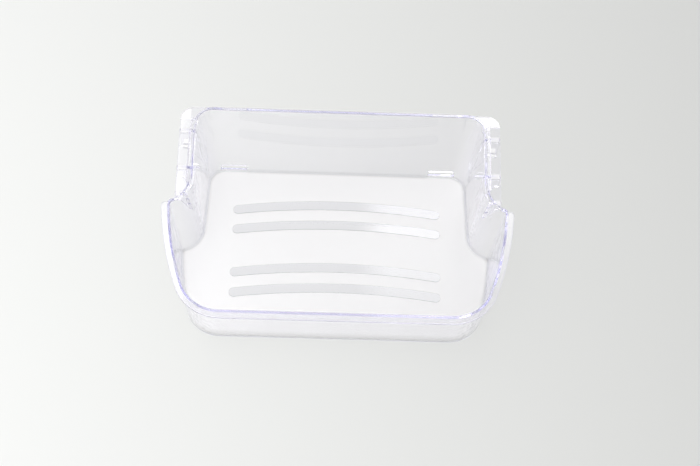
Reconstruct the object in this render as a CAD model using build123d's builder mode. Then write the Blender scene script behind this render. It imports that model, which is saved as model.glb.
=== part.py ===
from build123d import *
import os
from math import cos, radians, sin, sqrt, tan

# Clear moulded fridge door shelf, one piece. The narrow rear sits between the ribs of the door, the
# wider pocket stands out in front, and a ribbed ledge on each side hangs on the door's bosses.
# +Z is up, +Y points to the back wall, and the origin lies under the middle of the whole plan.

# Overall sizes in millimetres
width = 341.0
depth = 209.0
height = 124.0
front_height = 96.0
wall = 2.6
floor_thickness = 2.8

# The rear part: how deep it is, and how far its sides stand in from the pocket's sides
rear_depth = 89.5
rear_inset = 24.0

# How far each wall leans outward on its way up, in degrees
back_lean = 0.7
side_lean = 3.2
shoulder_lean = 4.3
pocket_lean = 3.8
front_lean = 8.0

# Plan of the walls: angles in degrees, and radii of the outer faces
side_spread = 2.2
back_corner = 18.5
shoulder_radius = 24.0
shoulder_slope = 21.0
shoulder_corner = 5.0
pocket_turn = 2.8
pocket_bow = 304.0
brim_corner = 41.0
foot_corner = 36.0

# Rounded edges: under the floor, inside on the floor, along the rim and round the lip
foot_round = 4.0
floor_round = 1.8
rim_round = 0.7
lip_round = 0.8

# Upper edge of the side walls: the angle at which it rises from the lip, and the radii at its two ends
rise_angle = 26.0
rise_foot_round = 8.0
rise_top_round = 105.0

# Lip round the pocket
lip_width = 5.8
lip_thickness = 2.4
lip_end_round = 4.0

# Hanging ledge on each side: a level block at the back, a sloped plate in front of it and ribs under it
block_length = 11.1
block_step = 0.8
ledge_angle = 20.0
ledge_width = 13.0
ledge_thickness = 2.4
ledge_corner = 13.0
ledge_round = 0.8
rib_thickness = 2.4
rib_foot = 54.0
rib_tip = 86.0
channel_width = 31.7
channel_inset = 22.9
front_cell = 23.9

# Ridge between the rim and the sloped plate, whose top leans inward
ridge_width = 2.8
ridge_length = 60.0
ridge_depth = 10.5
ridge_lean = 20.0

# Level pads on the sloped plate, one over each rib, and the stepped catch between two of them
pad_length = 5.6
pad_width = 9.6
pad_inset = 2.6
pad_rise = 0.8
pad_round = 0.4
catch_width = 7.0
catch_inset = 1.2
catch_setback = 7.9
catch_length = 5.5
catch_step = 3.3

# Slots at the foot of the back wall
slot_width = 27.0
slot_height = 9.0
slot_spacing = 216.0
slot_sill = 1.4
slot_corner = 1.5

# Polished stripes on the floor, in two pairs, and the gate mark under the floor
stripe_width = 9.6
stripe_height = 0.6
stripe_length = 213.0
stripe_bow = 7.4
stripe_pitch = 22.4
pair_pitch = 70.6
gate_diameter = 7.0
gate_depth = 0.5
gate_shift = 4.0
gate_setback = 6.0

# How far a cutting or trimmed shape runs past the faces that it meets, and how near counts as touching
spare = 2.0
touch = 0.01


def rise(angle, length):
    return length * tan(radians(angle))


def heading(angle):
    return Vector(cos(radians(angle)), sin(radians(angle)))


def back_y(z):
    return depth / 2 - rise(back_lean, height - z)


def front_y(z):
    return -depth / 2 + lip_width + rise(front_lean, front_height - z)


def side_x(z):
    return width / 2 - lip_width - rear_inset - rise(side_lean, front_height - z)


def shoulder_tip(z):
    x = width / 2 - lip_width - rise(pocket_lean, front_height - z)
    y = depth / 2 - rear_depth - rise(shoulder_lean, front_height - z)
    return Vector(x, y)


def front_corner(z):
    return foot_corner + (brim_corner - foot_corner) * z / front_height


# Directions in plan: out of each wall, and along it towards the front
side_out = heading(side_spread)
side_run = heading(side_spread - 90)
shoulder_out = heading(90 - shoulder_slope)
pocket_out = heading(-pocket_turn)
pocket_run = heading(-pocket_turn - 90)


def back_corner_centre(z):
    return Vector(side_x(z) - back_corner, back_y(z) - back_corner)


def side_point(z, out, y):
    """A point of the side line at level z, moved out of the wall, where it crosses y."""
    start = back_corner_centre(z) + side_out * (back_corner + out)
    return start + side_run * ((start.Y - y) / cos(radians(side_spread)))


def half_plan(z, inset, tip_round):
    """The right half of the walls' plan at level z, with every wall moved inward by inset."""
    back = back_y(z) - inset
    front = front_y(z) + inset
    centre = back_corner_centre(z)
    tip = shoulder_tip(z)

    # The shoulder's arc touches the side line and the sloped shoulder line
    hub = centre + side_out * (back_corner + shoulder_radius)
    reach = (hub - tip).dot(shoulder_out) - shoulder_radius
    hub = hub + side_run * (reach / cos(radians(side_spread + shoulder_slope)))

    # The tip moves in with both of its faces
    across = sin(radians(90 - shoulder_slope + pocket_turn))
    tip_shift = Vector(pocket_out.Y - shoulder_out.Y, shoulder_out.X - pocket_out.X)
    tip = tip + tip_shift * (inset / across)

    # The front corner's arc touches the bowed side and the front line
    bow = pocket_bow - inset
    corner = front_corner(z) - inset
    bow_centre = tip - pocket_out * bow
    corner_y = front + corner
    corner_x = bow_centre.X + sqrt((bow - corner) ** 2 - (corner_y - bow_centre.Y) ** 2)
    bow_end = bow_centre + (Vector(corner_x, corner_y) - bow_centre).normalized() * bow

    side_start = centre + side_out * (back_corner - inset)
    side_end = hub - side_out * (shoulder_radius + inset)
    shoulder_end = hub - shoulder_out * (shoulder_radius + inset)
    with BuildSketch(Plane.XY.offset(z)) as plan:
        with BuildLine():
            Line((0, back), (centre.X, back))
            TangentArc((centre.X, back), side_start, tangent=(1, 0))
            Line(side_start, side_end)
            TangentArc(side_end, shoulder_end, tangent=side_run)
            Line(shoulder_end, tip)
            bowed_side = TangentArc(tip, bow_end, tangent=pocket_run)
            TangentArc(bow_end, (corner_x, front), tangent=bowed_side % 1)
            Polyline((corner_x, front), (0, front), (0, back))
        make_face()
        fillet(plan.vertices().sort_by_distance(tip)[0], radius=tip_round)
    return plan.sketch


def wall_plan(z, inset):
    return half_plan(z, inset, shoulder_corner - inset)


def rim_line(drop):
    """Side view of the rim, lowered by drop."""
    low = front_height - drop
    high = height - drop
    rise_start = shoulder_tip(front_height).Y - wall
    rise_end = rise_start + (high - low) / tan(radians(rise_angle))
    corners = [(-depth, low), (rise_start, low), (rise_end, high), (depth, high)]
    with BuildLine(mode=Mode.PRIVATE):
        return FilletPolyline(*corners, radius=[rise_foot_round, rise_top_round])


def above_rim(drop, plane=Plane.YZ):
    """Side view of the space over the rim, lowered by drop."""
    edge = rim_line(drop)
    ceiling = height + 2 * spare
    with BuildSketch(plane) as region:
        with BuildLine():
            add(edge)
            Polyline(edge @ 1, (depth, ceiling), (-depth, ceiling), edge @ 0)
        make_face()
    return region.sketch


# Places along the hanging ledge
ledge_back = back_y(rib_foot)
ledge_front = shoulder_tip(front_height).Y - wall / 2
block_front = ledge_back - block_length


def plate_level(y):
    return height - block_step - rise(ledge_angle, block_front - y)


def above_ledge(drop):
    """Side view of the space over the hanging ledge, lowered by drop."""
    ceiling = height + 2 * spare
    with BuildSketch(Plane.YZ) as region:
        with BuildLine():
            Polyline(
                (0, plate_level(0) - drop),
                (block_front, plate_level(block_front) - drop),
                (block_front, height - drop),
                (depth, height - drop),
                (depth, ceiling),
                (0, ceiling),
                close=True,
            )
        make_face()
    return region.sketch


def level_pad(back, length, inset, across):
    """A pad with a level top, which stands on the sloped plate and ends at back."""
    front = back - length
    level = plate_level(back) + pad_rise
    sunk = plate_level(front) - pad_rise
    with BuildPart() as pad:
        with BuildSketch(Plane.YZ.offset(side_point(height, inset, back).X)):
            with BuildLine():
                Polyline(
                    (front, sunk),
                    (front, level),
                    (back, level),
                    (back, level - 2 * pad_rise),
                    close=True,
                )
            make_face()
        extrude(amount=across)
        fillet(faces().sort_by(Axis.Z)[-1].edges(), radius=pad_round)
    return pad.part


def outside(point):
    """How far a point lies outside the side wall's line at the top."""
    return (point - side_point(height, 0, point.Y)).dot(side_out)


# Hanging ledge with its ribs, trimmed to its own plan and to the middle of the walls
channel_back = ledge_back - channel_inset
channel_front = channel_back - channel_width
rib_places = [channel_back + rib_thickness, channel_front, channel_front - front_cell]
with BuildPart() as hanger:
    extrude(above_ledge(ledge_thickness), amount=width / 2)
    for place in rib_places:
        wall_x = side_point(rib_foot, 0, place).X
        with BuildSketch(Plane.XZ.offset(-place)):
            with BuildLine():
                Polyline(
                    (0, rib_foot),
                    (wall_x, rib_foot),
                    (wall_x + ledge_width, rib_tip),
                    (width / 2, rib_tip),
                    (width / 2, height + spare),
                    (0, height + spare),
                    close=True,
                )
            make_face()
        extrude(amount=rib_thickness)
    with BuildSketch():
        with BuildLine():
            Polyline(
                (side_x(0) - back_corner, ledge_back),
                side_point(height, ledge_width, ledge_back),
                side_point(height, ledge_width, ledge_front),
                (side_x(0) - back_corner, ledge_front),
                close=True,
            )
        make_face()
        fillet(vertices().sort_by(SortBy.DISTANCE)[-1], radius=ledge_corner)
    extrude(amount=height + spare, mode=Mode.INTERSECT)
    extrude(above_ledge(0), amount=width / 2, mode=Mode.SUBTRACT)
    outer_edges = edges(Select.LAST).filter_by(lambda edge: outside(edge @ 0.5) > ledge_width - touch)
    fillet(outer_edges, radius=ledge_round)
    loft(sections=[wall_plan(0, wall / 2), wall_plan(height + 2 * spare, wall / 2)], mode=Mode.SUBTRACT)

# Ridge along the outer side of the rim: from inside the wall up to the rim's level at its outer edge
ridge_root = 1 - wall
ridge_drop = rise(ridge_lean, ridge_width - ridge_root)
ridge_reach = (ridge_width - ridge_root) / cos(radians(ridge_lean))
side_view = Plane(side_point(height, ridge_root, 0), x_dir=side_run * -1, z_dir=side_out)
with BuildPart() as ridge:
    lean = side_out * cos(radians(ridge_lean)) + Vector(0, 0, sin(radians(ridge_lean)))
    profile = above_rim(ridge_depth, side_view) - above_rim(ridge_drop, side_view)
    extrude(profile, amount=ridge_reach, dir=lean)
    with Locations((0, block_front, 0)):
        Box(width, ridge_length, 4 * height, align=(Align.MIN, Align.MAX, Align.CENTER), mode=Mode.INTERSECT)

# Pads over the ribs, and the two steps of the catch
catch_back = channel_back - catch_setback
pads = [level_pad(place, pad_length, pad_inset, pad_width) for place in rib_places]
pads.append(level_pad(catch_back, catch_length, catch_inset, catch_width))
pads.append(level_pad(catch_back - catch_length, catch_step, catch_inset, catch_width))

# Lip round the pocket, as far as the shoulder
lip_end = shoulder_tip(front_height).Y
with BuildPart() as lip:
    extrude(half_plan(front_height, -lip_width, lip_end_round), amount=-lip_thickness)
    with Locations((0, lip_end, front_height)):
        Box(width, 2 * depth, height, align=(Align.MIN, Align.MAX, Align.CENTER), mode=Mode.INTERSECT)
    end_edges = edges().filter_by(Axis.Z).sort_by_distance((width, lip_end, front_height))
    fillet(end_edges[0], radius=lip_end_round)
    flat_faces = faces().filter_by(Axis.Z)
    fillet(flat_faces.edges().filter_by_position(Axis.X, spare, width), radius=lip_round)

# Hollow of the shelf, right half
with BuildPart() as hollow:
    loft(sections=[wall_plan(floor_thickness, wall), wall_plan(height + 2 * spare, wall)])
    floor_edges = faces().sort_by(Axis.Z)[0].edges().filter_by_position(Axis.X, spare, width)
    fillet(floor_edges, radius=floor_round)

# The shelf: its right half is made whole, then mirrored
with BuildPart() as door_shelf:
    loft(sections=[wall_plan(0, 0), wall_plan(height + spare, 0)])
    foot_edges = faces().sort_by(Axis.Z)[0].edges().filter_by_position(Axis.X, spare, width)
    fillet(foot_edges, radius=foot_round)
    add(lip.part)
    add(hollow.part, mode=Mode.SUBTRACT)
    extrude(above_rim(0), amount=width, mode=Mode.SUBTRACT)
    rim_edges = edges(Select.LAST).filter_by_position(Axis.X, spare, width)
    rim_edges = rim_edges.filter_by_position(Axis.Z, front_height - touch, height + touch)
    fillet(rim_edges.filter_by(lambda edge: hollow.part.distance_to(edge @ 0.5) < touch), radius=rim_round)
    add(hanger.part)
    add(ridge.part)
    add(pads)

    # Slot at the foot of the back wall
    with BuildSketch(Plane.XZ.offset(-back_y(0) - spare)):
        with Locations((slot_spacing / 2, floor_thickness + slot_sill + slot_height / 2)):
            RectangleRounded(slot_width, slot_height, slot_corner)
    extrude(amount=wall + 3 * spare, mode=Mode.SUBTRACT)
    mirror(about=Plane.YZ)

    # Polished stripes, bowed towards the back and centred on the floor
    floor_middle = (back_y(floor_thickness) + front_y(floor_thickness)) / 2
    for pair in (-1, 1):
        for side in (-1, 1):
            ends_y = floor_middle + pair * pair_pitch / 2 + side * stripe_pitch / 2
            ends_x = stripe_length / 2 - stripe_width / 2
            with BuildSketch(Plane.XY.offset(floor_thickness)):
                with BuildLine(mode=Mode.PRIVATE):
                    middle_line = ThreePointArc((-ends_x, ends_y), (0, ends_y + stripe_bow), (ends_x, ends_y))
                SlotArc(middle_line, stripe_width)
            extrude(amount=stripe_height)

    # Gate mark under the floor
    with BuildSketch():
        with Locations((gate_shift, floor_middle + gate_setback)):
            Circle(gate_diameter / 2)
    extrude(amount=gate_depth, mode=Mode.SUBTRACT)

os.makedirs("parts", exist_ok=True)
door_shelf.part.label = "door_shelf"
export_step(door_shelf.part, "parts/door_shelf.step")
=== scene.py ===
from math import radians

import bpy
from mathutils import Matrix, Vector


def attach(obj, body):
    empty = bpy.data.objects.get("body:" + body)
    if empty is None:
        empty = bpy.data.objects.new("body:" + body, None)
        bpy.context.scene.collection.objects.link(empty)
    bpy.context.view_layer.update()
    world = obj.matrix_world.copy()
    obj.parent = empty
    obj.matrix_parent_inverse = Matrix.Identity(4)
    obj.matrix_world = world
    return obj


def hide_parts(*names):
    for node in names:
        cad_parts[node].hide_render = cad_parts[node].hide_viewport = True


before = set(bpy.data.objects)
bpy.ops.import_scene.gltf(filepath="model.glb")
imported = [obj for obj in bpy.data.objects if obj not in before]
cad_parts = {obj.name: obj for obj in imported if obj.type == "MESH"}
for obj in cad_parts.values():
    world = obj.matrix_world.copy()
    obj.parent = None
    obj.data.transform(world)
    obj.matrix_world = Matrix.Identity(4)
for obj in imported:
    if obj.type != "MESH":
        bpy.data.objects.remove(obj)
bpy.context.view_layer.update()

scene = bpy.context.scene
scene.view_settings.view_transform = "Standard"

plasticBounces = 128          # light crosses many faces of the clear plastic
scene.cycles.max_bounces = plasticBounces
scene.cycles.glossy_bounces = plasticBounces
scene.cycles.transmission_bounces = plasticBounces
scene.cycles.transparent_max_bounces = plasticBounces
print("frame loaded:", sorted(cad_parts))


def deselectAll():
    bpy.ops.object.select_all(action="DESELECT")


def makeActive(piece):
    deselectAll()
    piece.select_set(True)
    bpy.context.view_layer.objects.active = piece


def applyModifiers(piece):
    makeActive(piece)
    for modifier in list(piece.modifiers):
        bpy.ops.object.modifier_apply(modifier=modifier.name)


# Node helpers: each source is another node's output or a plain value
mixSockets = {"share": 0, "first": 6, "second": 7, "result": 2}   # of a Mix node that mixes colours


def feed(tree, socket, source):
    if isinstance(source, bpy.types.NodeSocket):
        tree.links.new(source, socket)
    else:
        socket.default_value = source


def addMath(tree, operation, first, second=None):
    node = tree.nodes.new("ShaderNodeMath")
    node.operation = operation
    feed(tree, node.inputs[0], first)
    if second is not None:
        feed(tree, node.inputs[1], second)
    return node.outputs[0]


def addVectorMath(tree, operation, first, second=None):
    node = tree.nodes.new("ShaderNodeVectorMath")
    node.operation = operation
    feed(tree, node.inputs[0], first)
    if second is not None:
        feed(tree, node.inputs[1], second)
    return node.outputs["Value" if operation == "DOT_PRODUCT" else "Vector"]


def addSplit(tree, vector):
    node = tree.nodes.new("ShaderNodeSeparateXYZ")
    feed(tree, node.inputs[0], vector)
    return node.outputs


def addRamp(tree, value, start=0.0, end=1.0, low=0.0, high=1.0, smooth=False):
    node = tree.nodes.new("ShaderNodeMapRange")
    if smooth:
        node.interpolation_type = "SMOOTHSTEP"
    node.inputs["From Min"].default_value = start
    node.inputs["From Max"].default_value = end
    node.inputs["To Min"].default_value = low
    node.inputs["To Max"].default_value = high
    feed(tree, node.inputs["Value"], value)
    return node.outputs[0]


def addBand(tree, value, limits, fade):
    low, high = limits
    above = addRamp(tree, value, low - fade, low)
    below = addRamp(tree, value, high + fade, high)
    return addMath(tree, "MULTIPLY", above, below)


def addMix(tree, share, first, second):
    node = tree.nodes.new("ShaderNodeMix")
    node.data_type = "RGBA"
    feed(tree, node.inputs[mixSockets["share"]], share)
    feed(tree, node.inputs[mixSockets["first"]], first)
    feed(tree, node.inputs[mixSockets["second"]], second)
    return node.outputs[mixSockets["result"]]


def addNoise(tree, place, scale, detail):
    node = tree.nodes.new("ShaderNodeTexNoise")
    node.inputs["Scale"].default_value = scale
    node.inputs["Detail"].default_value = detail
    feed(tree, node.inputs["Vector"], place)
    return node.outputs[0]


def addBump(tree, height, distance):
    node = tree.nodes.new("ShaderNodeBump")
    node.inputs["Distance"].default_value = distance
    feed(tree, node.inputs["Height"], height)
    return node


# Clear plastic
clearPlastic = {
    "ior": 1.56,
    "clearRough": 0.012,
    "tint": (0.06, 0.03, 0.78, 1.0),           # lavender that grows with the depth of plastic
    "tintDensity": 0.85,

    "floorHeights": (0.0023, 0.0031),          # the frosted floor lies between these heights
    "padHeights": (0.0975, 0.1232),            # and the ledges' frosted pads between these
    "padSide": 0.1452,                         # further out than this
    "frostLevel": (0.97, 0.985),               # how level a face is where the frosting starts and is full
    "frostFade": 0.0001,
    "frostRough": 0.48,
    "coatHeights": (-0.21, 0.11),              # the frosting's sheen grows from the floor to the pads
    "coatRough": 0.45,
    "coatIor": 3.2,
    "coatTint": (1.0, 0.99, 0.955, 1.0),

    "openColour": (0.98, 0.975, 1.0, 1.0),
    "paintedSideCast": (0.955, 0.945, 1.0, 1.0),    # painted shade: faces that look sideways are more lavender and a little darker, a cast from the light and not from the plastic
    "sideTurn": (0.3, 0.9),
    "paintedCornerShade": (0.22, 0.21, 0.20, 1.0),   # painted shade: the corner round the floor is darkened where it is closed in, for the shade there and the light its rounding turns aside
    "cornerReach": 0.0052,
    "cornerOpen": (0.45, 0.87),                # how open a deep corner and an open face are
    "cornerTop": (0.02, 0.05),                 # the painted shade fades out between these heights
    "cornerSamples": 8,
    "paintedFootShade": (0.68, 0.68, 0.68, 1.0),     # painted shade: the foot of the outer faces is grey too
    "footHeights": (0.030, 0.006),             # where its grey starts and is full
    "footTurn": (0.1, 0.5),

    "grainScale": 2400.0,                      # grain of the frosting
    "grainDetail": 2.0,
    "grainHeight": 0.00004,
    "wobbleScale": 26.0,                       # slow unevenness of the moulded walls
    "wobbleDetail": 1.0,
    "wobbleHeight": 0.00002,

    "lampKept": 0.987,                         # what a lamp's ray keeps at a face that it meets square on
    "edgeLoss": 0.14,                          # and what it loses more at a face that it meets edge-on
    "edgePower": 5.0,
    "edgeBlend": 0.5,
}


# frosted where it is level: on the floor, and on the pads of the ledges
def frostMask(tree, values, spot, normal):
    fade = values["frostFade"]
    floorBand = addBand(tree, spot["Z"], values["floorHeights"], fade)
    padBand = addBand(tree, spot["Z"], values["padHeights"], fade)
    aside = addMath(tree, "ABSOLUTE", spot["X"])
    outside = addRamp(tree, aside, values["padSide"] - fade, values["padSide"])
    padBand = addMath(tree, "MULTIPLY", padBand, outside)
    bands = addMath(tree, "MAXIMUM", floorBand, padBand)
    return addMath(tree, "MULTIPLY", bands, addRamp(tree, normal["Z"], *values["frostLevel"]))


# the plastic's own tint, with painted shade on its sideways faces, round the floor and at the foot
def plasticTintAndShade(tree, values, place, spot, normal):
    # painted shade: the sideways faces get a lavender cast
    sideways = addMath(tree, "ABSOLUTE", normal["X"])
    sideShare = addRamp(tree, sideways, *values["sideTurn"])
    colour = addMix(tree, sideShare, values["openColour"], values["paintedSideCast"])

    # painted shade: greyer in the corner round the floor where the air is closed in, seen from the air
    # and not from inside the plastic
    corner = tree.nodes.new("ShaderNodeAmbientOcclusion")
    corner.samples = values["cornerSamples"]
    corner.inputs["Distance"].default_value = values["cornerReach"]
    geometry = tree.nodes.new("ShaderNodeNewGeometry")
    openness = addMath(tree, "MAXIMUM", corner.outputs["AO"], geometry.outputs["Backfacing"])
    openness = addMath(tree, "MAXIMUM", openness, addRamp(tree, spot["Z"], *values["cornerTop"]))
    openShare = addRamp(tree, openness, *values["cornerOpen"])
    colour = addMix(tree, openShare, values["paintedCornerShade"], colour)

    # painted shade also at the foot of the faces that look away from the middle
    plan = addVectorMath(tree, "MULTIPLY", place.outputs["Object"], (1, 1, 0))
    outwards = addVectorMath(tree, "NORMALIZE", plan)
    away = addVectorMath(tree, "DOT_PRODUCT", outwards, place.outputs["Normal"])
    outer = addRamp(tree, away, *values["footTurn"])
    low = addRamp(tree, spot["Z"], *values["footHeights"])
    return addMix(tree, addMath(tree, "MULTIPLY", outer, low), colour, values["paintedFootShade"])


def plasticNormal(tree, values, place, frost):
    grain = addNoise(tree, place.outputs["Object"], values["grainScale"], values["grainDetail"])
    grainBump = addBump(tree, addMath(tree, "MULTIPLY", grain, frost), values["grainHeight"])
    wobble = addNoise(tree, place.outputs["Object"], values["wobbleScale"], values["wobbleDetail"])
    wobbleBump = addBump(tree, wobble, values["wobbleHeight"])
    feed(tree, wobbleBump.inputs["Normal"], grainBump.outputs[0])
    return wobbleBump.outputs[0]


# lets the lamps' light through, less of it at faces that it meets edge-on
def lampWindow(tree, values):
    edgeOn = tree.nodes.new("ShaderNodeLayerWeight")
    edgeOn.inputs["Blend"].default_value = values["edgeBlend"]
    edge = addMath(tree, "POWER", edgeOn.outputs["Facing"], values["edgePower"])
    kept = addRamp(tree, edge, low=values["lampKept"], high=values["lampKept"] - values["edgeLoss"])
    window = tree.nodes.new("ShaderNodeBsdfTransparent")
    feed(tree, window.inputs["Color"], kept)
    return window.outputs[0]


def makeClearPlastic(values):
    material = bpy.data.materials.new("clear_plastic")
    material.use_nodes = True
    tree = material.node_tree
    shader = tree.nodes["Principled BSDF"]
    output = tree.nodes["Material Output"]

    place = tree.nodes.new("ShaderNodeTexCoord")
    spot = addSplit(tree, place.outputs["Object"])
    normal = addSplit(tree, place.outputs["Normal"])
    frost = frostMask(tree, values, spot, normal)
    sheen = addRamp(tree, spot["Z"], *values["coatHeights"])
    finish = {
        "Base Color": plasticTintAndShade(tree, values, place, spot, normal),
        "Roughness": addRamp(tree, frost, low=values["clearRough"], high=values["frostRough"]),
        "Normal": plasticNormal(tree, values, place, frost),
        "IOR": values["ior"],
        "Transmission Weight": 1.0,
        "Coat Weight": addMath(tree, "MULTIPLY", frost, sheen),
        "Coat Roughness": values["coatRough"],
        "Coat IOR": values["coatIor"],
        "Coat Tint": values["coatTint"],
    }
    for socket, source in finish.items():
        feed(tree, shader.inputs[socket], source)

    depth = tree.nodes.new("ShaderNodeVolumeAbsorption")
    depth.inputs["Color"].default_value = values["tint"]
    depth.inputs["Density"].default_value = values["tintDensity"]
    feed(tree, output.inputs["Volume"], depth.outputs[0])

    # light between the lamps, the room and the table passes straight through
    path = tree.nodes.new("ShaderNodeLightPath")
    passing = addMath(tree, "MAXIMUM", path.outputs["Is Shadow Ray"], path.outputs["Is Diffuse Ray"])
    surface = tree.nodes.new("ShaderNodeMixShader")
    for socket, source in enumerate((passing, shader.outputs[0], lampWindow(tree, values))):
        feed(tree, surface.inputs[socket], source)
    feed(tree, output.inputs["Surface"], surface.outputs[0])
    print("clear plastic:", len(tree.nodes), "nodes")
    return material


# Moulding
moulding = {
    "name": "shelf_moulding",
    "node": "door_shelf",
    "mergeGap": 0.000002,
    "smoothAngle": 32.0,
}


def makeMoulding(values):
    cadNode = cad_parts[values["node"]]
    piece = bpy.data.objects.new(values["name"], cadNode.data.copy())
    scene.collection.objects.link(piece)
    makeActive(piece)
    bpy.ops.object.mode_set(mode="EDIT")
    bpy.ops.mesh.select_all(action="SELECT")
    bpy.ops.mesh.customdata_custom_splitnormals_clear()
    bpy.ops.mesh.remove_doubles(threshold=values["mergeGap"])
    bpy.ops.object.mode_set(mode="OBJECT")
    bpy.ops.object.shade_smooth_by_angle(angle=radians(values["smoothAngle"]))
    weighted = piece.modifiers.new("evenNormals", "WEIGHTED_NORMAL")
    weighted.keep_sharp = True
    applyModifiers(piece)
    piece.data.materials.clear()
    piece.data.materials.append(makeClearPlastic(clearPlastic))
    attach(piece, "root")
    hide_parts(values["node"])
    print("moulding:", len(piece.data.vertices), "points", len(piece.data.polygons), "faces")


makeMoulding(moulding)


# Table
table = {
    "size": 9.0,
    "gap": 0.0004,            # air under the moulding
    "colour": (0.815, 0.822, 0.812, 1.0),
    "rough": 0.9,
    "gloss": 0.15,
}


def makeTable(values):
    deselectAll()
    bpy.ops.mesh.primitive_plane_add(size=values["size"], location=(0, 0, -values["gap"]))
    piece = bpy.context.active_object
    piece.name = "table"
    material = bpy.data.materials.new("pale_table")
    material.use_nodes = True
    shader = material.node_tree.nodes["Principled BSDF"]
    shader.inputs["Base Color"].default_value = values["colour"]
    shader.inputs["Roughness"].default_value = values["rough"]
    shader.inputs["Specular IOR Level"].default_value = values["gloss"]
    piece.data.materials.append(material)


makeTable(table)
print("table set")


# Softboxes: the fade is how far in from its sides, as shares of its size, one reaches its full light
softboxes = {
    "backRight": {
        "centre": (0.335, 0.93, 1.5),
        "size": (0.55, 0.93),
        "radiance": 2.3,
        "fade": (0.16, 0.43),
    },
    "left": {
        "centre": (-1.0, -0.95, 1.5),
        "size": (1.5, 3.5),
        "radiance": 1.95,
        "fade": (0.04, 0.05),
    },
    "farLeft": {
        "centre": (-1.55, 1.10, 1.5),
        "size": (0.8, 0.8),
        "radiance": 2.4,
        "fade": (0.15, 0.15),
    },
}
wattsForRadiance = 4          # watts that a square metre of lamp takes for a radiance of 1
middle = 0.5                  # of a lamp, whose own coordinates run from 0 to 1


def makeSoftbox(name, values):
    width, length = values["size"]
    bpy.ops.object.light_add(type="AREA", location=values["centre"])
    lamp = bpy.context.active_object
    lamp.name = name
    lamp.data.shape = "RECTANGLE"
    lamp.data.size = width
    lamp.data.size_y = length
    lamp.data.energy = wattsForRadiance * width * length * values["radiance"]

    # the light fades towards the sides
    lamp.data.use_nodes = True
    tree = lamp.data.node_tree
    spot = tree.nodes.new("ShaderNodeNewGeometry")
    offset = addVectorMath(tree, "SUBTRACT", spot.outputs["Parametric"], (middle, middle, 0))
    aside = addSplit(tree, addVectorMath(tree, "ABSOLUTE", offset))
    fadeAcross, fadeAlong = values["fade"]
    across = addRamp(tree, aside["X"], middle, middle - fadeAcross, smooth=True)
    along = addRamp(tree, aside["Y"], middle, middle - fadeAlong, smooth=True)
    feed(tree, tree.nodes["Emission"].inputs["Strength"], addMath(tree, "MULTIPLY", across, along))


for softboxName, softbox in softboxes.items():
    makeSoftbox(softboxName, softbox)
print("softboxes:", len(softboxes))


# Room: pale where it is mirrored or seen through the plastic
studio = {
    "colour": (1.0, 1.0, 0.99, 1.0),
    "strength": 0.44,
    "mirroredColour": (0.94, 0.935, 1.0, 1.0),
    "mirrored": 1.0,
}


def makeRoom(values):
    world = bpy.data.worlds.new("studio")
    scene.world = world
    world.use_nodes = True
    tree = world.node_tree
    path = tree.nodes.new("ShaderNodeLightPath")
    seen = addMath(tree, "MAXIMUM", path.outputs["Is Glossy Ray"], path.outputs["Is Transmission Ray"])
    strength = addRamp(tree, seen, low=values["strength"], high=values["mirrored"])
    colour = addMix(tree, seen, values["colour"], values["mirroredColour"])
    backdrop = tree.nodes["Background"]
    feed(tree, backdrop.inputs["Strength"], strength)
    feed(tree, backdrop.inputs["Color"], colour)


makeRoom(studio)
print("room set")


# Camera
view = {
    "place": (-0.020985, -0.61395, 1.32982),
    "pitch": 64.007,          # below the level
    "yaw": 3.122,             # to the right of +Y
    "roll": 4.546,
    "lens": 73.89,
    "sensor": 36.0,
}


def makeCamera(values):
    bpy.ops.object.camera_add()
    camera = bpy.context.active_object
    yaw = Matrix.Rotation(-radians(values["yaw"]), 4, "Z")
    pitch = Matrix.Rotation(radians(90 - values["pitch"]), 4, "X")
    roll = Matrix.Rotation(radians(values["roll"]), 4, "Z")
    camera.matrix_world = Matrix.Translation(Vector(values["place"])) @ yaw @ pitch @ roll
    camera.data.lens = values["lens"]
    camera.data.sensor_fit = "HORIZONTAL"
    camera.data.sensor_width = values["sensor"]
    scene.camera = camera


makeCamera(view)
print("camera set")
